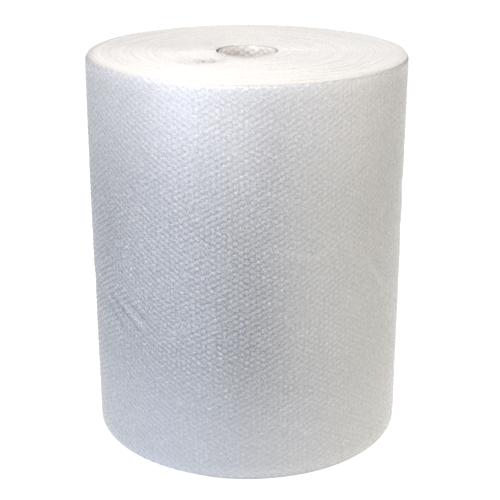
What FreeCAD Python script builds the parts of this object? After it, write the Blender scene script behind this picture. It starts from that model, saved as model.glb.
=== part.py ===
import FreeCAD, Part
import math
import os

# A full roll of bubble film standing on one end. The film is wound on itself with no core tube,
# so the roll is one body: a spiral of turns round an open eye. Lengths are in millimetres.
# The origin is the middle of the end that the roll stands on, and +Z runs up the eye.

FILM_WIDTH = 750.0  # width of the film, which is the height of the standing roll
OUTER_DIAMETER = 612.0  # across the outermost turn
EYE_DIAMETER = 106.0  # hole that the winding mandrel leaves
TURN_THICKNESS = 2.9  # what one wound turn adds, with its bubbles partly pressed
TURNS_PER_BAND = 7  # turns that slipped together and show as one band of the end face
BAND_STEP = 2.5  # how far every second band stands below the one beside it
SHOULDER_WIDTH = 22.0  # rim where the outer turns round off down to the wall
SHOULDER_DROP = 8.0  # height that they lose there
MOUTH_WIDTH = 9.0  # rim where the inner turns round off down into the eye
MOUTH_DROP = 5.0  # height that they lose there
LAND_WIDTH = 4.0  # least width of the flat ring between either rim and the bands
BOSS_RISE = 3.1  # height of the film's bubbles on the wall
BOSSES_ROUND = 52  # columns of bosses, each boss standing for a patch of 4 by 4 bubbles
BOSS_ROWS = 34  # half steps of the close-packed lattice up the wall

NODE = "bubble_film_roll"

OUTER_RADIUS = OUTER_DIAMETER / 2
EYE_RADIUS = EYE_DIAMETER / 2
BAND_WIDTH = TURN_THICKNESS * TURNS_PER_BAND
BAND_PITCH = 2 * BAND_WIDTH
RIGHT_COLUMNS = math.ceil(BOSSES_ROUND / 2)  # a column lies where the two half turns meet
OVERRUN = TURN_THICKNESS  # how far a cutting form passes the stock that it cuts
SLOPES_PER_RIM = 3  # straight slopes that make up the curve of each rim
HALF_TURN = 180.0
UP = FreeCAD.Vector(0, 0, 1)
MIDDLE = FreeCAD.Vector(TURN_THICKNESS / 4, -TURN_THICKNESS / 4, 0)  # of the winding's two centres


def rim(flat_radius, edge_radius, drop):
    """(radius, height) corners of a quarter ellipse from the level top end down to an edge."""
    corners = []
    for slope in range(SLOPES_PER_RIM + 1):
        angle = math.radians(90) * slope / SLOPES_PER_RIM
        radius = flat_radius + (edge_radius - flat_radius) * math.sin(angle)
        corners.append((radius, FILM_WIDTH - drop * (1 - math.cos(angle))))
    return corners


def both_ends(corners):
    """A section's corners at the top end, then the same corners at the bottom end in reverse."""
    return corners + [(radius, FILM_WIDTH - height) for radius, height in reversed(corners)]


def turned(corners, centre, start, angle):
    """The solid that a section makes when it turns about an upright axis at centre."""
    points = [FreeCAD.Vector(radius, 0, height) for radius, height in corners + corners[:1]]
    section = Part.Face(Part.makePolygon(points))
    section.rotate(FreeCAD.Vector(0, 0, 0), UP, start)
    section.translate(centre)
    return section.revolve(centre, UP, angle)


def wound(outline, pitch):
    """A spiral of two half turns about centres half a pitch apart.

    outline(shift) gives the corners of the section, with its radii moved in by shift. The second
    half turn has radii half a pitch smaller, so each turn runs on into the next at the front, and
    one pitch of step is left at the back, where the turns begin and end.
    """
    reach = FreeCAD.Vector(0, pitch / 4, 0)
    left = turned(outline(0), MIDDLE + reach, HALF_TURN / 2, HALF_TURN)
    right = turned(outline(pitch / 2), MIDDLE - reach, -HALF_TURN / 2, HALF_TURN)
    return left.fuse(right).removeSplitter()


def outer_point(column, inset, height):
    """A point of the outermost turn, by its column from the back, clockwise from above."""
    right = column <= RIGHT_COLUMNS
    reach = TURN_THICKNESS / 4
    centre = MIDDLE + FreeCAD.Vector(0, -reach if right else reach, 0)
    radius = OUTER_RADIUS - inset - (TURN_THICKNESS / 2 if right else 0)
    half_turns = column / RIGHT_COLUMNS
    if not right:
        half_turns = 1 + (column - RIGHT_COLUMNS) / (BOSSES_ROUND - RIGHT_COLUMNS)
    angle = math.radians(HALF_TURN) * half_turns
    return centre + FreeCAD.Vector(radius * math.sin(angle), radius * math.cos(angle), height)


def between_bosses(column, row):
    """1 where a point of the wall lies on the film between bosses, and 0 at the top of a boss.

    Columns count from the free edge on either side, so the film matches on both sides of its step.
    An odd number of columns leaves two like ones beside each other at the front.
    """
    return (min(column, BOSSES_ROUND - column) + row) % 2


def outer_column(column):
    """The outermost turn's points up one column: bottom rim, wall with its bosses, top rim."""
    edge = rim(OUTER_RADIUS - SHOULDER_WIDTH, OUTER_RADIUS, SHOULDER_DROP)
    top = [(OUTER_RADIUS - radius, height) for radius, height in reversed(edge)]
    bottom = [(inset, FILM_WIDTH - height) for inset, height in reversed(top)]
    wall = []
    for row in range(1, BOSS_ROWS):
        height = SHOULDER_DROP + (FILM_WIDTH - 2 * SHOULDER_DROP) * row / BOSS_ROWS
        wall.append((BOSS_RISE * between_bosses(column, row), height))
    return [outer_point(column, inset, height) for inset, height in bottom + wall + top]


def face(*points):
    """A flat face through the points."""
    return Part.Face(Part.makePolygon(list(points) + [points[0]]))


def bossed_roll():
    """The whole roll before its end bands and its eye, with a lattice of bosses on its wall.

    The wall is a net of triangles between neighbouring columns. Every second point of the net is
    the top of a boss, and the others lie on the film between them.
    """
    columns = [outer_column(column) for column in range(BOSSES_ROUND + 1)]
    faces = []
    for column in range(BOSSES_ROUND):
        near, far = columns[column], columns[column + 1]
        for row in range(len(near) - 1):
            on_rim = not SLOPES_PER_RIM <= row < len(near) - 1 - SLOPES_PER_RIM
            corners = [near[row], far[row], far[row + 1], near[row + 1]]
            if on_rim:
                faces.append(face(*corners))
                continue
            if between_bosses(column, row - SLOPES_PER_RIM):
                corners = corners[1:] + corners[:1]
            faces.append(face(corners[0], corners[1], corners[3]))
            faces.append(face(corners[1], corners[2], corners[3]))
    faces.append(face(*[points[0] for points in columns]))
    faces.append(face(*[points[-1] for points in columns]))
    faces.append(face(*(columns[0] + columns[-1][::-1])))
    shell = Part.Shell(faces)
    shell.sewShape()
    return Part.Solid(shell)


def banded_block(shift):
    """Section of a block wider than the roll, with the bands stepped into both its ends."""
    inner = EYE_RADIUS + MOUTH_WIDTH + LAND_WIDTH
    outer = OUTER_RADIUS - SHOULDER_WIDTH - LAND_WIDTH
    pairs = math.floor((outer - inner - BAND_PITCH / 2) / BAND_PITCH)
    low = FILM_WIDTH - BAND_STEP
    corners = [(0, FILM_WIDTH)]
    for pair in reversed(range(pairs)):
        edge = outer - pair * BAND_PITCH - shift
        corners.extend([(edge - BAND_WIDTH, FILM_WIDTH), (edge - BAND_WIDTH, low)])
        corners.extend([(edge, low), (edge, FILM_WIDTH)])
    corners.append((OUTER_RADIUS + BAND_WIDTH, FILM_WIDTH))
    return both_ends(corners)


def eye():
    """The round hole through the roll, with a rim at both ends."""
    mouth = EYE_RADIUS + MOUTH_WIDTH
    above = FILM_WIDTH + OVERRUN
    corners = both_ends([(0, above), (mouth, above)] + rim(mouth, EYE_RADIUS, MOUTH_DROP))
    return turned(corners, FreeCAD.Vector(0, 0, 0), 0, 2 * HALF_TURN)


def film_roll():
    """The whole roll: the wound body with its bosses, its end bands and its open eye."""
    banded = wound(banded_block, BAND_PITCH)
    return bossed_roll().common(banded).cut(eye()).Solids[0]


os.makedirs("parts", exist_ok=True)
roll = film_roll()
roll.exportStep(f"parts/{NODE}.step")
print(NODE, "valid", roll.isValid(), "volume in litres", round(roll.Volume / 1e6, 2))
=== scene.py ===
"""A full roll of clear bubble film standing on one end: the look of its turns, ends and eye.

Lengths are real millimetres, turned to metres where a mesh or a node takes them. The outer turn
and the lining of the eye are flat sheets of film that are wound into place, and each end face is
the film's own cut edge, one long strip that runs in turn by turn.
"""

import math

import bpy
import numpy as np
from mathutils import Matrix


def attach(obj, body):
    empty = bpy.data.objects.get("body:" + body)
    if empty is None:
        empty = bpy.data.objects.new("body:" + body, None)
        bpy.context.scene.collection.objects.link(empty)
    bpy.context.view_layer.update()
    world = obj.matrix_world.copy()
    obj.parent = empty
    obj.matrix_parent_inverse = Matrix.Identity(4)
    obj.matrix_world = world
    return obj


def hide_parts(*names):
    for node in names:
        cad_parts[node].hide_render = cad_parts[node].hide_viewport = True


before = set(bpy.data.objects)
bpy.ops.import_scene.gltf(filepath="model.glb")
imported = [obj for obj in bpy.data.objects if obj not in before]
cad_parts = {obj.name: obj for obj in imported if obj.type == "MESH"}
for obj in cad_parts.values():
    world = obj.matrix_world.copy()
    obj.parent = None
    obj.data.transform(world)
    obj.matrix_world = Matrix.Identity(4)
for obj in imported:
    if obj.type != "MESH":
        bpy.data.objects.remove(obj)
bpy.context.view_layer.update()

MM = 0.001
FULL = 2 * math.pi

# the roll, as the frame has it
WIDTH = 750.0  # film width, the height of the standing roll
LEFT_RADIUS = 306.0  # outermost half turn
RIGHT_RADIUS = 304.55  # the half turn before it
CENTRE_X = 0.725
RIGHT_CENTRE_Y = -1.45
PITCH = 2.9  # what one turn adds
EYE = 53.0
SHOULDER = (22.0, 8.0)  # width and drop of the outer rim
MOUTH = (9.0, 5.0)  # width and drop of the rim at the eye
BAND = 20.3  # seven turns
BAND_PAIRS = 4
BAND_STEP = 2.5

# the film: 10 mm bubbles in a close-packed lattice
BUBBLE_PITCH = 11.3  # bubble to bubble up the roll
COLUMN_PITCH = BUBBLE_PITCH * math.sqrt(3) / 2  # column to column round the roll
PAIR = 2 * COLUMN_PITCH
CELL_RADIUS = BUBBLE_PITCH / math.sqrt(3)
SHOULDER_RADIUS = 4.5  # of a bubble, where its side turns in to its top
TOP_RADIUS = 2.9
SHOULDER_RISE = 1.55
TOP_RISE = 2.5
BUBBLE_RISE = 3.1
PAIRS_ROUND = 97  # pairs of columns in the outermost turn
ROWS = 67
PLAY = 0.5  # room that the film's waves take under the outer radius

random = np.random.default_rng(612)


def deselect():
    """Nothing selected, so that the next operator acts on its own piece only."""
    if bpy.context.object and bpy.context.object.mode != "OBJECT":
        bpy.ops.object.mode_set(mode="OBJECT")
    bpy.ops.object.select_all(action="DESELECT")


def pick(piece):
    """This piece alone selected and active."""
    deselect()
    piece.select_set(True)
    bpy.context.view_layer.objects.active = piece


def array(piece, count, offset):
    """Repeats the piece count times along offset, and applies it."""
    pick(piece)
    rows = piece.modifiers.new("rows", "ARRAY")
    rows.use_relative_offset = False
    rows.use_constant_offset = True
    rows.constant_offset_displace = offset
    rows.count = count
    bpy.ops.object.modifier_apply(modifier=rows.name)


def points_of(piece):
    """The piece's vertices, as an array in millimetres."""
    flat = np.empty(len(piece.data.vertices) * 3, np.float32)
    piece.data.vertices.foreach_get("co", flat)
    return flat.reshape(-1, 3).astype(float) / MM


def move_points(piece, points):
    """Moves the piece's vertices to points in millimetres."""
    piece.data.vertices.foreach_set("co", (points * MM).astype(np.float32).ravel())
    piece.data.update()


def keep_value(piece, name, values):
    """Keeps one number a vertex, which a material reads by name."""
    store = piece.data.attributes.new(name, "FLOAT", "POINT")
    store.data.foreach_set("value", values.astype(np.float32))


def keep_flat(piece, along, across):
    """Keeps each vertex's place on the flat film, in metres, as the piece's UV map."""
    layer = piece.data.uv_layers.new(name="flat_film")
    corner = np.empty(len(piece.data.loops), np.int32)
    piece.data.loops.foreach_get("vertex_index", corner)
    place = np.stack([along[corner], across[corner]], axis=1) * MM
    layer.data.foreach_set("uv", place.astype(np.float32).ravel())


def bump(distance, width):
    """A soft hill of height 1 at distance 0."""
    return np.exp(-((distance / width) ** 2))


def spiral(angle):
    """Centre y and outer radius of the wound turn at an angle from the back, clockwise from above.

    Angles under 0 are the turns inside the outermost one.
    """
    turn = np.floor(angle / FULL)
    right = (angle - turn * FULL) < math.pi
    centre_y = np.where(right, RIGHT_CENTRE_Y, 0.0)
    radius = np.where(right, RIGHT_RADIUS, LEFT_RADIUS) + PITCH * turn
    return centre_y, radius


def around(angle, radius, centre_y, height):
    """Points at an angle and radius about the spiral's centres."""
    x = CENTRE_X + radius * np.sin(angle)
    y = centre_y + radius * np.cos(angle)
    return np.stack([x, y, height], axis=1)


def apart(angle, middle):
    """Signed difference of two directions round the roll, in degrees."""
    return (np.degrees(angle) - middle + 180.0) % 360.0 - 180.0


WAVE_DEPTH = 0.25  # of two slow waves of the outer turn, 3 and 5 times round the roll
# creases of the outer turn: direction and height of both ends, depth, half width, and how much
# lighter (under 0, darker) the film along it is painted, as a share of its tone: painted highlight
# or painted shade
CREASES = [
    (241.0, 334.0, 217.0, 260.0, 3.2, 5.6, -0.26),
    (232.0, 334.0, 213.0, 288.0, 2.6, 5.2, -0.2),
    (237.0, 332.0, 215.0, 275.0, 0.0, 4.6, 0.16),
    (247.0, 318.0, 226.0, 254.0, 2.8, 5.4, -0.2),
    (264.0, 322.0, 240.0, 300.0, 2.4, 6.5, -0.12),
    (139.0, 442.0, 117.0, 297.0, 2.2, 5.6, 0.14),
    (136.0, 452.0, 115.0, 310.0, 0.0, 6.5, -0.07),
    (171.0, 455.0, 155.0, 434.0, 1.6, 5.2, 0.09),
    (158.0, 436.0, 149.0, 452.0, 1.2, 5.2, 0.09),
]
# shallow dents and slack places: direction, height, depth, half width round, half height
DENTS = [
    (262.0, 300.0, 1.8, 10.0, 22.0),
    (266.0, 250.0, 1.2, 12.0, 30.0),
    (98.0, 500.0, 1.6, 9.0, 18.0),
    (97.0, 415.0, 1.5, 10.0, 16.0),
    (150.0, 330.0, 1.2, 16.0, 60.0),
    (205.0, 250.0, 1.0, 20.0, 80.0),
]


def slack(angle, height):
    """How far the outer turn lies inside its full radius, how hard a crease presses it, and the painted
    shade and highlight along its creases.
    """
    give = WAVE_DEPTH * (2 + np.sin(3 * angle + height / 170) + np.sin(5 * angle - height / 95))
    press = np.zeros_like(angle)
    tone = np.zeros_like(angle)
    for a0, h0, a1, h1, depth, width, share in CREASES:
        run = np.array([math.radians(a1 - a0) * LEFT_RADIUS, h1 - h0])
        length = np.hypot(*run)
        run /= length
        du = np.radians(apart(angle, a0)) * LEFT_RADIUS
        dv = height - h0
        along = np.clip(du * run[0] + dv * run[1], 0, length)
        off = np.hypot(du - along * run[0], dv - along * run[1])
        taper = np.sin(math.pi * np.clip(along / length, 0.06, 0.94))
        line = bump(off, width) * taper
        give += depth * line
        press = np.maximum(press, line)
        # painted shade along the crease, or painted highlight where its share is over 0
        tone += share * line
    for a0, h0, depth, wide, tall in DENTS:
        give += depth * bump(apart(angle, a0), wide) * bump(height - h0, tall)
    return give, press, tone


# soft patches of painted light and shade on the outer turn, lighter or darker than its mean
# tone: direction, height, tone, half width round, half height
PAINTED_LIGHT_PATCHES = [
    (180.0, 330.0, -0.17, 13.0, 190.0),
    (236.0, 440.0, -0.1, 10.0, 110.0),
    (216.0, 250.0, -0.04, 12.0, 70.0),
    (202.0, 640.0, 0.14, 11.0, 110.0),
    (200.0, 715.0, 0.14, 15.0, 60.0),
    (184.0, 640.0, 0.08, 7.0, 90.0),
    (171.0, 640.0, -0.06, 5.0, 60.0),
    (137.0, 470.0, -0.05, 16.0, 120.0),
]


def painted_light_and_shade(angle, height):
    """Painted light and shade on the outer turn: how much lighter than its mean tone, as a share of it.
    """
    tone = np.zeros_like(angle)
    for direction, middle, share, wide, tall in PAINTED_LIGHT_PATCHES:
        tone += share * bump(apart(angle, direction), wide) * bump(height - middle, tall)
    return tone


def milky(angle, height):
    """How closely the outer turn lies on the one below, 0 to 1: there its bubbles hardly show."""
    right = bump(apart(angle, 112.0), 62.0) ** 0.6
    edge = 1 / (1 + np.exp((apart(angle, 112.0) - 58.0) / 2.5))
    back = 0.35 * bump(apart(angle, 0.0), 70.0)
    foot = 0.85 * (1 - np.clip(height / 250.0, 0, 1) ** 2)
    head = 0.75 * bump(WIDTH - height, 190.0)
    return np.clip(np.max([right * edge, back, foot, head], axis=0), 0, 1)


def lip(angle):
    """1 where the outermost edges stand a little apart at the left front, else 0."""
    return bump(apart(angle, 228.0), 24.0)


def rim_path(beyond, wide, drop):
    """Inward move and rise of film that goes `beyond` past the foot of a rim, and its slope.

    The rim is a quarter ellipse; the walk along it is summed in small steps.
    """
    t = np.linspace(math.pi / 2, 0, 240)
    inward = wide[:, None] * (1 - np.sin(t))[None, :]
    rise = drop * np.cos(t)[None, :] * np.ones_like(inward)
    step = np.hypot(np.diff(inward, axis=1), np.diff(rise, axis=1))
    walked = np.concatenate([np.zeros((len(wide), 1)), np.cumsum(step, axis=1)], axis=1)
    at = np.clip((walked < beyond[:, None]).sum(axis=1), 1, len(t) - 1)
    row = np.arange(len(wide))
    d_in = inward[row, at] - inward[row, at - 1]
    d_up = rise[row, at] - rise[row, at - 1]
    length = np.hypot(d_in, d_up)
    return inward[row, at], rise[row, at], d_in / length, d_up / length


def bubble_cell():
    """One hexagon of film with its bubble, six sides, corners along the film."""
    deselect()
    bpy.ops.mesh.primitive_circle_add(
        vertices=6, radius=CELL_RADIUS * MM, fill_type="NGON", rotation=(0, 0, math.pi / 2)
    )
    cell = bpy.context.object
    bpy.ops.object.transform_apply(location=True, rotation=True, scale=True)
    side = math.cos(math.pi / 6) * MM
    bpy.ops.object.mode_set(mode="EDIT")
    bpy.ops.mesh.select_all(action="SELECT")
    bpy.ops.mesh.inset(
        thickness=(CELL_RADIUS - SHOULDER_RADIUS) * side, depth=SHOULDER_RISE * MM
    )
    bpy.ops.mesh.inset(
        thickness=(SHOULDER_RADIUS - TOP_RADIUS) * side, depth=(TOP_RISE - SHOULDER_RISE) * MM
    )
    bpy.ops.mesh.poke(offset=(BUBBLE_RISE - TOP_RISE) * MM)
    bpy.ops.object.mode_set(mode="OBJECT")
    return cell


def cut(piece, place, direction):
    """Cuts the piece straight and drops what lies on the side that direction points to."""
    pick(piece)
    bpy.ops.object.mode_set(mode="EDIT")
    bpy.ops.mesh.select_all(action="SELECT")
    bpy.ops.mesh.bisect(
        plane_co=[value * MM for value in place], plane_no=direction, clear_outer=True
    )
    bpy.ops.object.mode_set(mode="OBJECT")


def flat_sheet(name, cell, first_pair, pairs, cuts):
    """A flat sheet of bubble film from the cell: rows across it, pairs of columns along it."""
    pick(cell)
    bpy.ops.object.duplicate()
    sheet = bpy.context.object
    sheet.name = name
    sheet.data.name = name
    array(sheet, 2, (COLUMN_PITCH * MM, BUBBLE_PITCH / 2 * MM, 0))
    array(sheet, ROWS, (0, BUBBLE_PITCH * MM, 0))
    array(sheet, pairs, (PAIR * MM, 0, 0))
    bpy.ops.object.mode_set(mode="EDIT")
    bpy.ops.mesh.select_all(action="SELECT")
    bpy.ops.mesh.remove_doubles(threshold=0.02 * MM)
    bpy.ops.transform.translate(value=(first_pair * PAIR * MM, 0, 0))
    bpy.ops.object.mode_set(mode="OBJECT")
    for place, direction in cuts + [((0, 0, 0), (0, -1, 0)), ((0, WIDTH, 0), (0, 1, 0))]:
        cut(sheet, place, direction)
    return sheet


UNEVEN = 0.16  # slope of a bubble that leans
HEIGHTS = random.uniform(0.8, 1.0, (PAIRS_ROUND * 2 + 40, ROWS + 2))
LEANS = random.uniform(-UNEVEN, UNEVEN, (2, PAIRS_ROUND * 2 + 40, ROWS + 2))
SOFT_SHARE = 0.004  # bubbles that have lost some of their air
HEIGHTS[random.random(HEIGHTS.shape) < SOFT_SHARE] = 0.7


def uneven(points):
    """Gives every bubble a height and a lean of its own; the film between them stays."""
    column = np.rint(points[:, 0] / COLUMN_PITCH).astype(int)
    odd = column % 2
    row = np.rint((points[:, 1] - odd * BUBBLE_PITCH / 2) / BUBBLE_PITCH).astype(int)
    aside = points[:, 0] - column * COLUMN_PITCH
    up = points[:, 1] - odd * BUBBLE_PITCH / 2 - row * BUBBLE_PITCH
    c = (column + 20) % HEIGHTS.shape[0]
    r = np.clip(row + 1, 0, HEIGHTS.shape[1] - 1)
    share = points[:, 2] / BUBBLE_RISE
    lean = LEANS[0][c, r] * aside + LEANS[1][c, r] * up
    points[:, 2] = points[:, 2] * HEIGHTS[c, r] + lean * share
    return points


def face_about(piece):
    """Turns the piece's faces about: winding clockwise mirrors the flat film."""
    pick(piece)
    bpy.ops.object.mode_set(mode="EDIT")
    bpy.ops.mesh.select_all(action="SELECT")
    bpy.ops.mesh.flip_normals()
    bpy.ops.object.mode_set(mode="OBJECT")


def finish_piece(piece, material, smooth_angle=None):
    """Shading, material and the frame's calls for one piece of the roll."""
    pick(piece)
    if smooth_angle is None:
        bpy.ops.object.shade_smooth()
    else:
        bpy.ops.object.shade_smooth_by_angle(angle=math.radians(smooth_angle))
    piece.data.materials.clear()
    piece.data.materials.append(material)
    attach(piece, "root")
    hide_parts("bubble_film_roll")


# the outer turn is three sheets, because one would be too many triangles for a piece
BACK_RIGHT_PAIRS = 26
FRONT_PAIRS = 46
OVERLAP = 14.0  # start of the outer turn, tucked in under its own free edge
TUCKED_UNDER = 0.25  # how much deeper the film lies there
TUCKED_RISE = 0.8  # share of their rise that bubbles keep there
EDGE_ROOM = 1.5  # how much lower than the rim's own curve the film leans in
LIP_TUCK = 0.68  # share by which the rim narrows where the outermost edges stand apart
RIM_FADE = 25.0  # height over which bubbles flatten towards a rim
RIM_PAINTED_LIGHT = 0.13  # painted light: how much lighter the film is made there
SLACK_FADE = 40.0  # height over which slack ends towards a rim
LEAST_GIVE = 0.3  # slack that is left there
GIVE_SHOWN = 0.8  # share of the slack that the film takes up
# shares of their rise that bubbles lose
MILKY_LOSS = 0.72
CREASE_LOSS = 0.75
RIM_LOSS = 0.5


def outer_turn(name, cell, first_pair, pairs, cuts, material):
    """A share of the outermost turn, wound on and leaning in over both rims."""
    sheet = flat_sheet(name, cell, first_pair, pairs, cuts)
    points = uneven(points_of(sheet))
    along, across, rise = points.T.copy()
    angle = along / (PAIRS_ROUND * PAIR) * FULL
    keep_value(sheet, "lift", rise / BUBBLE_RISE)
    keep_flat(sheet, along, across)
    close = milky(angle, across)
    keep_value(sheet, "milky", close)
    rise = rise * (1 - MILKY_LOSS * close)

    middle = WIDTH / 2
    foot = middle - SHOULDER[1] - EDGE_ROOM
    from_middle = np.abs(across - middle)
    beyond = np.maximum(from_middle - foot, 0.0)
    top_half = across > middle
    wide = SHOULDER[0] * (1 - LIP_TUCK * lip(angle) * top_half)
    inward = np.zeros_like(along)
    climb = np.zeros_like(along)
    slope_in = np.zeros_like(along)
    slope_up = np.ones_like(along)
    rim = beyond > 0
    if rim.any():
        rim_in, rim_up, s_in, s_up = rim_path(beyond[rim], wide[rim], SHOULDER[1])
        inward[rim] = rim_in
        climb[rim] = rim_up
        slope_in[rim] = s_in
        slope_up[rim] = s_up
    reach = np.minimum(from_middle, foot) + climb
    height = middle + np.where(top_half, reach, -reach)

    give, press, crease_painted_shade = slack(angle, height)
    fade = np.clip((foot - from_middle) / SLACK_FADE, 0, 1)
    give = LEAST_GIVE + (give - LEAST_GIVE) * fade
    by_rim = np.clip((from_middle - foot + RIM_FADE) / RIM_FADE, 0, 1)
    rise = rise * (1 - CREASE_LOSS * press) * (1 - RIM_LOSS * by_rim)
    # painted light and shade of the outer turn: its patches, darker or lighter creases, and lighter film
    # towards both rims
    keep_value(sheet, "painted_light_and_shade", painted_light_and_shade(angle, across) + crease_painted_shade + RIM_PAINTED_LIGHT * by_rim)
    tucked = angle < 0
    rise = np.where(tucked, rise * TUCKED_RISE, rise)
    side = np.where(top_half, 1.0, -1.0)
    centre_y, radius = spiral(np.clip(angle, 0, FULL * 0.999999))
    under = np.where(tucked, TUCKED_UNDER, 0.0)
    plane = radius - BUBBLE_RISE - PLAY - inward - (give - PLAY) * GIVE_SHOWN - under
    place = around(angle, plane + rise * slope_up, centre_y, height + side * rise * slope_in)
    move_points(sheet, place)
    face_about(sheet)
    finish_piece(sheet, material)
    return sheet


def banded(x, y):
    """1 over a band of turns that stands back, 0 over the next, with a turn's width between."""
    left = x < CENTRE_X
    shift = np.where(left, 0.0, BAND)
    middle_y = -0.725 + np.where(left, BAND / 2, -BAND / 2)
    off = np.hypot(x - CENTRE_X, y - middle_y)
    low = np.zeros_like(x)
    for pair in range(BAND_PAIRS):
        edge = LEFT_RADIUS - SHOULDER[0] - 4.0 - pair * 2 * BAND - shift
        low += 1 / (1 + np.exp((off - edge) / 0.5)) - 1 / (1 + np.exp((off - edge + BAND) / 0.5))
    return low


FIRST_ANGLE = -FULL  # the strip starts one turn in: the outermost edge is the leaning film's own
LAST_RADIUS = 59.2  # where it ends, behind the film that lines the eye
STEP = BUBBLE_PITCH / 2  # from a gap between bubbles to the middle of one
BASE = 7.5  # depth at which the strip stands on the turns' body
# the cut edge across a turn, as (across, up), in a gap between bubbles and over a bubble
GAP_SECTION = [(0.0, -BASE), (0.15, -0.2), (1.4, 0.0), (2.7, -0.25), (2.9, -BASE)]
BUBBLE_SECTION = [(0.0, -BASE), (0.15, 0.0), (1.4, -0.9), (2.7, -0.1), (2.9, -BASE)]
SAME_PLACE = 0.1 * MM  # vertices nearer than this lie at one place along the film
EDGE_BELOW = 0.9  # mean depth of the edges under the film's full width
LEAST_BELOW = 0.05
SEEN_STEP = BAND_STEP - 1.3  # of the bands, which the slips of single turns soften
SLIP_COUNT = 120  # turns that have a slip and a wave of their own
SLIP = 0.25  # how far a turn may stand above or below its band
WAVE = 0.15  # of two waves of a turn's edge, 2 and 9 times round
CREVICE = (113.0, 147.0, 203.0, 226.0)  # radii and directions of both ends, where turns came apart
CREVICE_SINK = 0.9
LIP_PUSH = 5.0  # how far the outermost edges stand in from the outer turn at the left front
LIP_SINK = 4.0


def edge_cell(name):
    """One bubble's length of the cut edge: a gap, the middle of a bubble and the next gap."""
    deselect()
    bpy.ops.mesh.primitive_circle_add(vertices=len(GAP_SECTION), radius=MM)
    strip = bpy.context.object
    strip.name = name
    strip.data.name = name
    for vertex, (across, up) in zip(strip.data.vertices, GAP_SECTION):
        vertex.co = (0, across * MM, up * MM)
    bpy.ops.object.mode_set(mode="EDIT")
    for _ in range(2):
        bpy.ops.mesh.select_all(action="DESELECT")
        bpy.ops.object.mode_set(mode="OBJECT")
        far = max(vertex.co.x for vertex in strip.data.vertices)
        for vertex in strip.data.vertices:
            vertex.select = abs(vertex.co.x - far) < SAME_PLACE
        bpy.ops.object.mode_set(mode="EDIT")
        bpy.ops.mesh.select_mode(type="EDGE")
        bpy.ops.mesh.select_mode(type="VERT")
        bpy.ops.mesh.extrude_edges_move(TRANSFORM_OT_translate={"value": (STEP * MM, 0, 0)})
    bpy.ops.object.mode_set(mode="OBJECT")
    for vertex in strip.data.vertices:
        if abs(vertex.co.x - STEP * MM) < SAME_PLACE:
            here = (vertex.co.y / MM, vertex.co.z / MM)
            corner = min(GAP_SECTION, key=lambda at: math.dist(at, here))
            across, up = BUBBLE_SECTION[GAP_SECTION.index(corner)]
            vertex.co.y = across * MM
            vertex.co.z = up * MM
    return strip


def edge_shade(angle, off, rim, share, clear):
    """How grey the cut edge is, 0 to 1, from four places that the light reaches less.

    They are down between two turns, where turns came apart, beside the eye (most of all towards
    the front) and out on the rim.
    """
    mottle = random.random(len(angle)) ** 1.5
    between = share * (0.9 - 0.55 * bump(off - EYE, 7.0))
    front = bump(apart(angle, 190.0), 55.0)
    by_eye = (0.1 + 0.8 * front) * bump(off - EYE, 8.0 + 24.0 * front)
    # painted shade, mottled: where turns came apart and beside the eye
    crevice_and_eye_shade = np.maximum(1.1 * clear * mottle, by_eye * (0.35 + 0.75 * mottle))
    towards_side = np.abs(np.sin(angle)) ** 1.5 + 0.8 * np.clip(-np.sin(angle), 0, 1) ** 2
    outside = rim * (0.12 + 0.25 * towards_side) * (0.7 + 0.6 * mottle)
    return np.clip(np.max([between, crevice_and_eye_shade, outside], axis=0), 0, 1)


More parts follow.
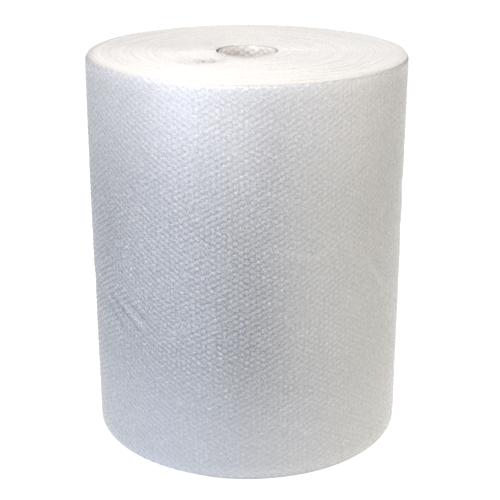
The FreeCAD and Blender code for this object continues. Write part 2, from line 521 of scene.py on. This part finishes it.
def wound_edge(name, material):
    """The film's cut edge at the top end, one strip from the rim in to the eye."""
    strip = edge_cell(name)
    start = RIGHT_RADIUS + RIGHT_CENTRE_Y + PITCH * FIRST_ANGLE / FULL
    length = math.pi * (start**2 - LAST_RADIUS**2) / PITCH
    array(strip, int(length / (2 * STEP)), (2 * STEP * MM, 0, 0))
    bpy.ops.object.mode_set(mode="EDIT")
    bpy.ops.mesh.select_all(action="SELECT")
    bpy.ops.mesh.remove_doubles(threshold=0.02 * MM)
    bpy.ops.mesh.select_all(action="SELECT")
    bpy.ops.mesh.fill_holes(sides=6)
    bpy.ops.mesh.select_all(action="SELECT")
    bpy.ops.mesh.normals_make_consistent(inside=False)
    bpy.ops.object.mode_set(mode="OBJECT")

    points = points_of(strip)
    along, across, up = points.T.copy()
    keep_flat(strip, along, across)
    winding = (np.sqrt(start**2 - PITCH * along / math.pi) - start) * FULL / PITCH
    angle = FIRST_ANGLE - 1e-6 + winding
    centre_y, radius = spiral(angle)
    turn = np.floor(angle / FULL).astype(int)
    radius = radius - PITCH + across

    slip = random.uniform(-SLIP, SLIP, SLIP_COUNT)[turn % SLIP_COUNT]
    phase = random.uniform(0, FULL, SLIP_COUNT)
    slow = np.sin(angle * 2 + phase[turn % SLIP_COUNT])
    quick = np.sin(angle * 9 + phase[(turn + 31) % SLIP_COUNT])
    wave = WAVE * slow + WAVE * quick
    place = around(angle, radius, centre_y, up)
    off = np.hypot(place[:, 0], place[:, 1])
    rim = np.clip((off - (LEFT_RADIUS - SHOULDER[0])) / SHOULDER[0], 0, 1)
    mouth = np.clip((EYE + MOUTH[0] - off) / MOUTH[0], 0, 0.9)
    drop = SHOULDER[1] * (1 - np.sqrt(1 - rim**2)) + MOUTH[1] * (1 - np.sqrt(1 - mouth**2))
    low = banded(place[:, 0], place[:, 1])

    inner_ring, outer_ring, towards, away = CREVICE
    spread = (away - towards) / 2
    along_crack = np.clip(apart(angle, towards) / (away - towards), 0, 1)
    ring = inner_ring + (outer_ring - inner_ring) * along_crack
    open_here = bump(apart(angle, towards + spread), spread * 1.15)
    side = off - ring
    lip_here = lip(angle) * np.exp(-np.clip(LEFT_RADIUS - 5.8 - off, 0, None) / 9.0)
    sink = CREVICE_SINK * open_here * bump(side, 24.0)
    sink = sink + LIP_SINK * lip_here * bump(LEFT_RADIUS - 9.0 - off, 6.0)

    top = WIDTH - EDGE_BELOW - drop - SEEN_STEP * low + slip + wave - sink
    top = np.minimum(top, WIDTH - LEAST_BELOW)
    share = np.clip(up / -BASE, 0, 1)
    base = WIDTH - BASE - drop
    height = np.where(share > 0.99, base, top + up)
    x = place[:, 0] - LIP_PUSH * lip_here * np.sin(angle)
    y = place[:, 1] - LIP_PUSH * lip_here * np.cos(angle)
    move_points(strip, np.stack([x, y, height], axis=1))

    # painted shade where turns came apart: a mask round the crevice
    clear = bump(side, 30.0) * open_here
    keep_value(strip, "in_shade", edge_shade(angle, off, rim, share, clear))
    keep_value(strip, "turn_tone", (slip + SLIP) / (2 * SLIP))
    face_about(strip)
    finish_piece(strip, material, 50)
    return strip


def other_end(piece, name, material):
    """The same turns at the end that the roll stands on."""
    pick(piece)
    bpy.ops.object.duplicate()
    copy = bpy.context.object
    copy.name = name
    copy.data.name = name
    copy.parent = None
    points = points_of(copy)
    points[:, 2] = WIDTH - points[:, 2]
    move_points(copy, points)
    face_about(copy)
    finish_piece(copy, material, 50)
    return copy


EYE_PAIRS = 18  # less half a pair, 343 mm of film: once round the eye and a little over
LINING_BEHIND = 2.6  # how far the lining's film lies behind the bore
LINING_START = 232.0  # direction of its fixed end
LINING_BACK = 3.2  # how far it stands back from both ends of the roll
FREE_END = 52.0  # length of its free end, which stands off the turn behind
FREE_LIFT = 4.0
LINING_RISE = 0.5  # share of their rise that its bubbles keep
LINING_MILKY = 0.9


def eye_film(name, cell, material):
    """The innermost turn, bubbles to the eye, with its free end standing off the turn behind."""
    length = EYE_PAIRS * PAIR
    sheet = flat_sheet(name, cell, 0, EYE_PAIRS, [
        ((0, 0, 0), (-1, 0, 0)),
        ((length - COLUMN_PITCH, 0, 0), (1, 0, 0)),
    ])
    points = uneven(points_of(sheet))
    along, across, rise = points.T.copy()
    keep_value(sheet, "lift", rise / BUBBLE_RISE)
    keep_flat(sheet, along, across)
    plane = EYE + LINING_BEHIND
    free = np.clip((along - (length - COLUMN_PITCH - FREE_END)) / FREE_END, 0, 1)
    angle = math.radians(LINING_START) - along / plane
    lift_off = FREE_LIFT * free**1.6 + np.clip((along - 200) / 140, 0, 1)
    wander = 0.5 * np.sin(angle * 3 + across / 60) + 0.4 * np.sin(across / 33)
    radius = plane - lift_off - rise * LINING_RISE - np.abs(wander) * 0.6
    height = LINING_BACK + across / WIDTH * (WIDTH - 2 * LINING_BACK)
    keep_value(sheet, "milky", np.full_like(along, LINING_MILKY))
    # painted light and shade of the lining: lighter near both mouths of the eye, most of all a little
    # right of the back, and on its left and right, darker a little left of the back
    from_mouth = np.minimum(height, WIDTH - height)
    mouth_light = 0.42 * bump(from_mouth, 13.0) * (1 + 0.8 * bump(apart(angle, 14.0), 9.0))
    sides = 0.25 * np.sin(angle) ** 4
    shaded = 0.16 * bump(apart(angle, 335.0), 28.0)
    keep_value(sheet, "painted_light_and_shade", mouth_light + sides - shaded)
    flare = np.clip((np.abs(height - WIDTH / 2) - (WIDTH / 2 - 10)) / 10, 0, 1)
    radius = radius + 0.8 * flare**2 * (1 - free)
    x = radius * np.sin(angle)
    y = radius * np.cos(angle)
    move_points(sheet, np.stack([x, y, height], axis=1))
    face_about(sheet)
    finish_piece(sheet, material)
    return sheet


def turns_body(name, material):
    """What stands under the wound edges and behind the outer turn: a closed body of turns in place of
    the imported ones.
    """
    section = [
        (EYE + 3.2, 12.0), (EYE + MOUTH[0], BASE + 0.4), (LEFT_RADIUS - 27.0, BASE + 0.4),
        (LEFT_RADIUS - 14.0, BASE + 2.4), (LEFT_RADIUS - 9.0, 16.0), (LEFT_RADIUS - 8.5, 24.0),
    ]
    section += [(radius, WIDTH - height) for radius, height in reversed(section)]
    deselect()
    first_radius, first_height = section[0]
    bpy.ops.mesh.primitive_circle_add(
        vertices=192, radius=first_radius * MM, location=(0, 0, first_height * MM)
    )
    body = bpy.context.object
    bpy.ops.object.transform_apply(location=True, rotation=True, scale=True)
    body.name = name
    body.data.name = name
    bpy.ops.object.mode_set(mode="EDIT")
    bpy.ops.mesh.select_all(action="SELECT")
    for (radius, height), (wider, higher) in zip(section, section[1:] + section[:1]):
        bpy.ops.mesh.extrude_edges_move(
            TRANSFORM_OT_translate={"value": (0, 0, (higher - height) * MM)}
        )
        grow = wider / radius
        bpy.ops.transform.resize(value=(grow, grow, 1), center_override=(0, 0, 0))
    bpy.ops.mesh.select_all(action="SELECT")
    bpy.ops.mesh.remove_doubles(threshold=0.05 * MM)
    bpy.ops.mesh.select_all(action="SELECT")
    bpy.ops.mesh.normals_make_consistent(inside=False)
    bpy.ops.object.mode_set(mode="OBJECT")
    finish_piece(body, material, 40)
    return body


def colour(code):
    """An sRGB hex value as the linear colour that a shader takes."""
    parts = [int(code[at:at + 2], 16) / 255 for at in (1, 3, 5)]
    return [p / 12.92 if p <= 0.04045 else ((p + 0.055) / 1.055) ** 2.4 for p in parts] + [1.0]


def add(tree, kind, inputs=None, **settings):
    """Adds a node with its settings; each input takes a value or another node's output."""
    made = tree.nodes.new(kind)
    for name, value in settings.items():
        setattr(made, name, value)
    for name, value in (inputs or {}).items():
        if isinstance(value, bpy.types.NodeSocket):
            tree.links.new(value, made.inputs[name])
        else:
            made.inputs[name].default_value = value
    return made


def new_material(name):
    """An empty node material."""
    material = bpy.data.materials.new(name)
    material.use_nodes = True
    material.node_tree.nodes.clear()
    return material, material.node_tree


LDPE_IOR = 1.51
END_REACH = 230.0  # how far down the wall the ends' light reaches
END_LIGHT = 1.2
BELOW_SKEW = 0.0175  # rise of the turn below over the outermost one, for each length along it
BELOW_LEVEL = 978.0  # place along the film where both lie level
BELOW_WANDER = 12.0
MILKY_LEVEL = 0.6  # tone, from valley to bubble, of film that lies close on the turn below
OUTER_TONES = ("#9CA1A8", "#B9BCC1", "#C9CBCF")  # valley, mean and bubble of the outer turn
LINING_TONES = ("#BAB8B5", "#CBC9C7", "#D8D7D5")  # the same in the eye, lit through the turns


def lattice_below(tree, flat, place):
    """The bubbles of the turn below, from 0 in its gaps to 1 on a bubble.

    They show half a column over, and a little askew, so the rows lean both ways. The film
    stretches unevenly, so they wander by a few millimetres.
    """
    wander = add(tree, "ShaderNodeTexNoise", {
        "Vector": place.outputs["Object"], "Scale": 13.0, "Detail": 2.0})
    centred = add(tree, "ShaderNodeVectorMath", {0: wander.outputs["Color"], 1: (0.5, 0.5, 0.5)},
                  operation="SUBTRACT")
    wandered = add(tree, "ShaderNodeVectorMath", {
        0: centred.outputs[0], 1: (BELOW_WANDER * MM, BELOW_WANDER * MM, 0), 2: flat.outputs["UV"]},
        operation="MULTIPLY_ADD")
    waves = []
    for x, y in ((-math.pi / COLUMN_PITCH, FULL / BUBBLE_PITCH), (FULL / COLUMN_PITCH, 0.0),
                 (math.pi / COLUMN_PITCH, FULL / BUBBLE_PITCH)):
        dot = add(tree, "ShaderNodeVectorMath", {
            0: wandered.outputs[0], 1: ((x - BELOW_SKEW * y) / MM, y / MM, 0)}, operation="DOT_PRODUCT")
        phase = BELOW_SKEW * BELOW_LEVEL * y - COLUMN_PITCH / 2 * x
        moved = add(tree, "ShaderNodeMath", {0: dot.outputs["Value"], 1: phase}, operation="ADD")
        wave = add(tree, "ShaderNodeMath", {0: moved.outputs[0]}, operation="COSINE")
        waves.append(wave.outputs[0])
    two = add(tree, "ShaderNodeMath", {0: waves[0], 1: waves[1]}, operation="ADD")
    three = add(tree, "ShaderNodeMath", {0: two.outputs[0], 1: waves[2]}, operation="ADD")
    lattice = add(tree, "ShaderNodeMapRange", {
        "Value": three.outputs[0], "From Min": -1.5, "From Max": 3.0, "To Min": 0.0, "To Max": 1.0})
    return lattice.outputs[0]


def bubble_film_material(name, tones):
    """Low-density polyethylene bubble film, blown and vacuum-formed.

    Clear film over trapped air looks milky: pale where a bubble scatters the light, greyer in the
    valleys, with small sharp glints on the bubbles, partly painted into the colour as white specks,
    and the bubbles of the turn below showing through as a second, fainter lattice. Painted light
    brightens it towards the roll's ends, and patches of painted light and shade lie over it.
    """
    material, tree = new_material(name)
    lift = add(tree, "ShaderNodeAttribute", attribute_name="lift")
    flat = add(tree, "ShaderNodeUVMap", uv_map="flat_film")
    place = add(tree, "ShaderNodeTexCoord")

    below = lattice_below(tree, flat, place)

    # both lattices blur in patches about 13 mm across, and where the turns lie close together
    patch = add(tree, "ShaderNodeTexNoise", {
        "Vector": place.outputs["Object"], "Scale": 75.0, "Detail": 3.0, "Roughness": 0.7})
    clear = add(tree, "ShaderNodeMapRange", {
        "Value": patch.outputs["Fac"], "From Min": 0.36, "From Max": 0.64, "To Min": 0.2, "To Max": 1.0})
    close = add(tree, "ShaderNodeAttribute", attribute_name="milky")
    apart_here = add(tree, "ShaderNodeMath", {0: close.outputs["Fac"], 1: -0.75, 2: 1.0},
                     operation="MULTIPLY_ADD")
    contrast = add(tree, "ShaderNodeMath", {0: clear.outputs[0], 1: apart_here.outputs[0]},
                   operation="MULTIPLY")
    both = add(tree, "ShaderNodeMath", {0: lift.outputs["Fac"], 1: below, 2: 0.25},
               operation="SMOOTH_MAX")
    level = add(tree, "ShaderNodeMix", {0: contrast.outputs[0], 2: MILKY_LEVEL, 3: both.outputs[0]},
                data_type="FLOAT", clamp_factor=False)
    ramp = add(tree, "ShaderNodeValToRGB", {"Fac": level.outputs[0]})
    ramp.color_ramp.elements[0].position = 0.1
    ramp.color_ramp.elements[0].color = colour(tones[0])
    ramp.color_ramp.elements[1].position = 1.0
    ramp.color_ramp.elements[1].color = colour(tones[2])
    middle = ramp.color_ramp.elements.new(0.6)
    middle.color = colour(tones[1])

    # clouding about 90 mm across
    cloud = add(tree, "ShaderNodeTexNoise", {
        "Vector": place.outputs["Object"], "Scale": 11.0, "Detail": 3.0, "Roughness": 0.5})
    clouded = add(tree, "ShaderNodeMix", {
        0: cloud.outputs["Fac"], 6: ramp.outputs["Color"], 7: colour("#BCBCBC")},
        data_type="RGBA", blend_type="SOFT_LIGHT")

    # painted glints: white specks up to 4 mm across, in about every second cell of 8 mm, painted into
    # the colour as highlights on the bubbles
    grid = add(tree, "ShaderNodeTexVoronoi", {"Vector": place.outputs["Object"], "Scale": 130.0})
    dot = add(tree, "ShaderNodeMapRange", {
        "Value": grid.outputs["Distance"], "From Min": 0.08, "From Max": 0.26,
        "To Min": 1.0, "To Max": 0.0})
    chosen = add(tree, "ShaderNodeSeparateColor", {"Color": grid.outputs["Color"]})
    some = add(tree, "ShaderNodeMapRange", {
        "Value": chosen.outputs[0], "From Min": 0.45, "From Max": 0.95, "To Min": 0.0, "To Max": 1.0})
    here = add(tree, "ShaderNodeMath", {0: dot.outputs[0], 1: some.outputs[0]}, operation="MULTIPLY")
    painted_glint = add(tree, "ShaderNodeMath", {0: here.outputs[0], 1: apart_here.outputs[0]},
                  operation="MULTIPLY")
    with_painted_glints = add(tree, "ShaderNodeMix", {
        0: painted_glint.outputs[0], 6: clouded.outputs[2], 7: colour("#F4F6F8")}, data_type="RGBA")

    # a fine grain about 2.5 mm across, from small wrinkles of turns that lie over each other
    grain = add(tree, "ShaderNodeTexNoise", {
        "Vector": place.outputs["Object"], "Scale": 400.0, "Detail": 2.0, "Roughness": 0.7})
    coarse = add(tree, "ShaderNodeMapRange", {
        "Value": grain.outputs["Fac"], "From Min": 0.3, "From Max": 0.7,
        "To Min": -0.42, "To Max": 0.42})
    grained = add(tree, "ShaderNodeMath", {0: coarse.outputs[0], 1: apart_here.outputs[0], 2: 1.0},
                  operation="MULTIPLY_ADD")

    # light that enters at the roll's ends comes out through the wall next to them
    spot = add(tree, "ShaderNodeSeparateXYZ", {"Vector": place.outputs["Object"]})
    from_middle = add(tree, "ShaderNodeMath", {0: spot.outputs["Z"], 1: WIDTH / 2 * MM, 2: 0.0},
                      operation="SUBTRACT")
    near_end = add(tree, "ShaderNodeMath", {0: from_middle.outputs[0]}, operation="ABSOLUTE")
    glow = add(tree, "ShaderNodeMapRange", {
        "Value": near_end.outputs[0], "From Min": (WIDTH / 2 - END_REACH) * MM,
        "From Max": WIDTH / 2 * MM, "To Min": 1.0, "To Max": END_LIGHT}, interpolation_type="SMOOTHSTEP")
    # painted light and shade, kept on the sheets of the outer turn and of the lining
    patches = add(tree, "ShaderNodeAttribute", attribute_name="painted_light_and_shade")
    tone = add(tree, "ShaderNodeMath", {
        0: glow.outputs[0], 1: patches.outputs["Fac"], 2: glow.outputs[0]}, operation="MULTIPLY_ADD")
    fine = add(tree, "ShaderNodeMath", {0: tone.outputs[0], 1: grained.outputs[0]}, operation="MULTIPLY")
    lit = add(tree, "ShaderNodeVectorMath", {0: with_painted_glints.outputs[2], "Scale": fine.outputs[0]},
              operation="SCALE")

    # wrinkles of the film, about 7 mm apart
    wrinkle = add(tree, "ShaderNodeTexNoise", {
        "Vector": place.outputs["Object"], "Scale": 150.0, "Detail": 5.0, "Roughness": 0.72})
    relief = add(tree, "ShaderNodeBump", {
        "Height": wrinkle.outputs["Fac"], "Strength": 1.0, "Distance": 1.5 * MM})
    gloss = add(tree, "ShaderNodeMapRange", {
        "Value": wrinkle.outputs["Fac"], "From Min": 0.3, "From Max": 0.7,
        "To Min": 0.2, "To Max": 0.36})
    # the bubble's two walls and the flat film behind reflect one behind the other
    shader = add(tree, "ShaderNodeBsdfPrincipled", {
        "Base Color": lit.outputs[0], "Roughness": gloss.outputs[0], "IOR": LDPE_IOR,
        "Coat Weight": 0.5, "Coat Roughness": 0.12, "Coat IOR": LDPE_IOR,
        "Normal": relief.outputs[0], "Coat Normal": relief.outputs[0]})
    add(tree, "ShaderNodeOutputMaterial", {"Surface": shader.outputs[0]})
    return material


def cut_edge_material():
    """The same polyethylene seen on its cut edges, many turns deep.

    Edge on, the film scatters nearly all the light, so the ends look white with a little warmth;
    painted shade greys them down between the turns, where they came apart, beside the eye and on the
    rim.
    """
    material, tree = new_material("LDPE film, slit edges of the wound turns")
    shade = add(tree, "ShaderNodeAttribute", attribute_name="in_shade")
    tone = add(tree, "ShaderNodeAttribute", attribute_name="turn_tone")
    place = add(tree, "ShaderNodeTexCoord")
    cloud = add(tree, "ShaderNodeTexNoise", {
        "Vector": place.outputs["Object"], "Scale": 14.0, "Detail": 4.0, "Roughness": 0.55})
    turns = add(tree, "ShaderNodeMix", {
        0: tone.outputs["Fac"], 6: colour("#E9E7E2"), 7: colour("#F0EFEC")}, data_type="RGBA")
    soft = add(tree, "ShaderNodeMix", {
        0: cloud.outputs["Fac"], 6: turns.outputs[2], 7: colour("#EDEDED")}, data_type="RGBA")
    # painted shade, from the in_shade attribute, towards a warm grey
    deep = add(tree, "ShaderNodeMix", {
        0: shade.outputs["Fac"], 6: soft.outputs[2], 7: colour("#8E8A86")}, data_type="RGBA")
    grain = add(tree, "ShaderNodeTexNoise", {
        "Vector": place.outputs["Object"], "Scale": 450.0, "Detail": 2.0, "Roughness": 0.7})
    grained = add(tree, "ShaderNodeMapRange", {
        "Value": grain.outputs["Fac"], "From Min": 0.3, "From Max": 0.7, "To Min": 0.86, "To Max": 1.1})
    lit = add(tree, "ShaderNodeVectorMath", {0: deep.outputs[2], "Scale": grained.outputs[0]},
              operation="SCALE")
    relief = add(tree, "ShaderNodeBump", {
        "Height": grain.outputs["Fac"], "Strength": 0.4, "Distance": 0.6 * MM})
    shader = add(tree, "ShaderNodeBsdfPrincipled", {
        "Base Color": lit.outputs[0], "Roughness": 0.5, "IOR": LDPE_IOR, "Normal": relief.outputs[0]})
    add(tree, "ShaderNodeOutputMaterial", {"Surface": shader.outputs[0]})
    return material


def packed_turns_material():
    """Turns deep in the roll, seen only between others: grey, soft, without glints."""
    material, tree = new_material("LDPE film, packed inner turns")
    place = add(tree, "ShaderNodeTexCoord")
    cloud = add(tree, "ShaderNodeTexNoise", {
        "Vector": place.outputs["Object"], "Scale": 90.0, "Detail": 3.0})
    tone = add(tree, "ShaderNodeMix", {
        0: cloud.outputs["Fac"], 6: colour("#8F949C"), 7: colour("#B4B7BC")}, data_type="RGBA")
    shader = add(tree, "ShaderNodeBsdfPrincipled", {
        "Base Color": tone.outputs[2], "Roughness": 0.6, "IOR": LDPE_IOR})
    add(tree, "ShaderNodeOutputMaterial", {"Surface": shader.outputs[0]})
    return material


FLOOR_GLOW = 1.28  # times the share of it that the camera sees, this is just over white
GLOW_SHARE = 0.8
ROOM_LIGHT = 0.06
# colour, watts and size of each lamp, then its place and the point it faces, in metres
LAMPS = (
    ("key", "#FFFFFF", 30.0, 0.5, (-0.51, -1.67, 2.45), (0, 0, 0.45)),
    ("near_key", "#FFF4F2", 14.0, 0.5, (-0.49, -1.20, 1.7), (0, 0, 0.7)),
    ("overhead", "#FFFFFF", 13.0, 2.0, (-0.5, 1.2, 2.2), (0, 0, 0.7)),
    ("warm_side", "#FFF1D7", 21.0, 2.0, (2.32, -0.62, 0.9), (0, 0, 0.4)),
    ("back", "#FFFFFF", 16.0, 1.6, (1.0, 1.73, 1.9), (0, 0, 0.7)),
    ("behind", "#FBFCFF", 21.0, 1.2, (0.0, 2.2, 0.7), (0, 0, 0.4)),
    ("low_left", "#A4D2FF", 2.1, 0.25, (-0.84, -1.0, 0.14), (0, 0, 0.1)),
    ("low_right", "#FFF6DC", 1.4, 0.25, (1.13, -0.65, 0.14), (0, 0, 0.1)),
)


def studio():
    """White floor and room, two keys at the left front, and softer lamps on the other sides."""
    deselect()
    bpy.ops.mesh.primitive_plane_add(size=60.0, location=(0, 0, -0.0005))
    floor = bpy.context.object
    floor.name = "floor"
    material, tree = new_material("white paper floor")
    path = add(tree, "ShaderNodeLightPath")
    seen = add(tree, "ShaderNodeMath", {
        0: path.outputs["Is Camera Ray"], 1: path.outputs["Is Glossy Ray"]}, operation="MAXIMUM")
    share = add(tree, "ShaderNodeMath", {0: seen.outputs[0], 1: GLOW_SHARE}, operation="MULTIPLY")
    paper = add(tree, "ShaderNodeBsdfDiffuse", {"Color": colour("#F2F2F2")})
    glow = add(tree, "ShaderNodeEmission", {"Color": (1, 1, 1, 1), "Strength": FLOOR_GLOW})
    mixed = add(tree, "ShaderNodeMixShader", {
        0: share.outputs[0], 1: paper.outputs[0], 2: glow.outputs[0]})
    add(tree, "ShaderNodeOutputMaterial", {"Surface": mixed.outputs[0]})
    floor.data.materials.append(material)

    scene = bpy.context.scene
    world = bpy.data.worlds.new("studio")
    scene.world = world
    world.use_nodes = True
    tree = world.node_tree
    tree.nodes.clear()
    path = add(tree, "ShaderNodeLightPath")
    white = add(tree, "ShaderNodeBackground", {"Color": (1, 1, 1, 1), "Strength": 1.0})
    room = add(tree, "ShaderNodeBackground", {"Color": (1, 1, 1, 1), "Strength": ROOM_LIGHT})
    mixed = add(tree, "ShaderNodeMixShader", {
        0: path.outputs["Is Camera Ray"], 1: room.outputs[0], 2: white.outputs[0]})
    add(tree, "ShaderNodeOutputWorld", {"Surface": mixed.outputs[0]})

    for name, tint, watts, size, place, aim in LAMPS:
        lamp = bpy.data.lights.new(name, "AREA")
        lamp.shape = "DISK"
        lamp.size = size
        lamp.energy = watts
        lamp.color = colour(tint)[:3]
        holder = bpy.data.objects.new(name, lamp)
        scene.collection.objects.link(holder)
        holder.location = place
        aimed = np.array(aim) - np.array(place)
        flat = math.hypot(aimed[0], aimed[1])
        holder.rotation_euler = (math.atan2(flat, -aimed[2]), 0, math.atan2(-aimed[0], aimed[1]))


SENSOR = 36.0
FOCAL_LENGTH = 84.77
CAMERA_PLACE = (0.0, -2.211, 1.1555)
CAMERA_DOWN = 20.06  # degrees below level
CAMERA_TURN = -0.0026  # radians about the upright


def photo_camera():
    """The photograph's view: from the front and above, about 20 degrees down."""
    lens = bpy.data.cameras.new("camera")
    lens.sensor_width = SENSOR
    lens.lens = FOCAL_LENGTH
    holder = bpy.data.objects.new("camera", lens)
    bpy.context.scene.collection.objects.link(holder)
    holder.location = CAMERA_PLACE
    holder.rotation_euler = (math.radians(90 - CAMERA_DOWN), 0, CAMERA_TURN)
    bpy.context.scene.camera = holder


bpy.context.scene.view_settings.view_transform = "Standard"
photo_camera()
studio()

film = bubble_film_material("LDPE bubble film, blown and vacuum-formed", OUTER_TONES)
lining = bubble_film_material("LDPE bubble film, lit through the turns behind it", LINING_TONES)
edges = cut_edge_material()
inside = packed_turns_material()

cell = bubble_cell()
tucked_edge = [((-OVERLAP, 0, 0), (-1, 0, 0))]
free_edge = [((PAIRS_ROUND * PAIR, 0, 0), (1, 0, 0))]
left_start = BACK_RIGHT_PAIRS + FRONT_PAIRS
left_pairs = PAIRS_ROUND - left_start + 1
outer_turn("outer_film_back_right", cell, -1, BACK_RIGHT_PAIRS + 1, tucked_edge, film)
outer_turn("outer_film_front", cell, BACK_RIGHT_PAIRS, FRONT_PAIRS, [], film)
outer_turn("outer_film_back_left", cell, left_start, left_pairs, free_edge, film)
eye_film("eye_film", cell, lining)
top_end = wound_edge("wound_edge_top", edges)
other_end(top_end, "wound_edge_bottom", edges)
turns_body("packed_turns", inside)
bpy.data.objects.remove(cell)
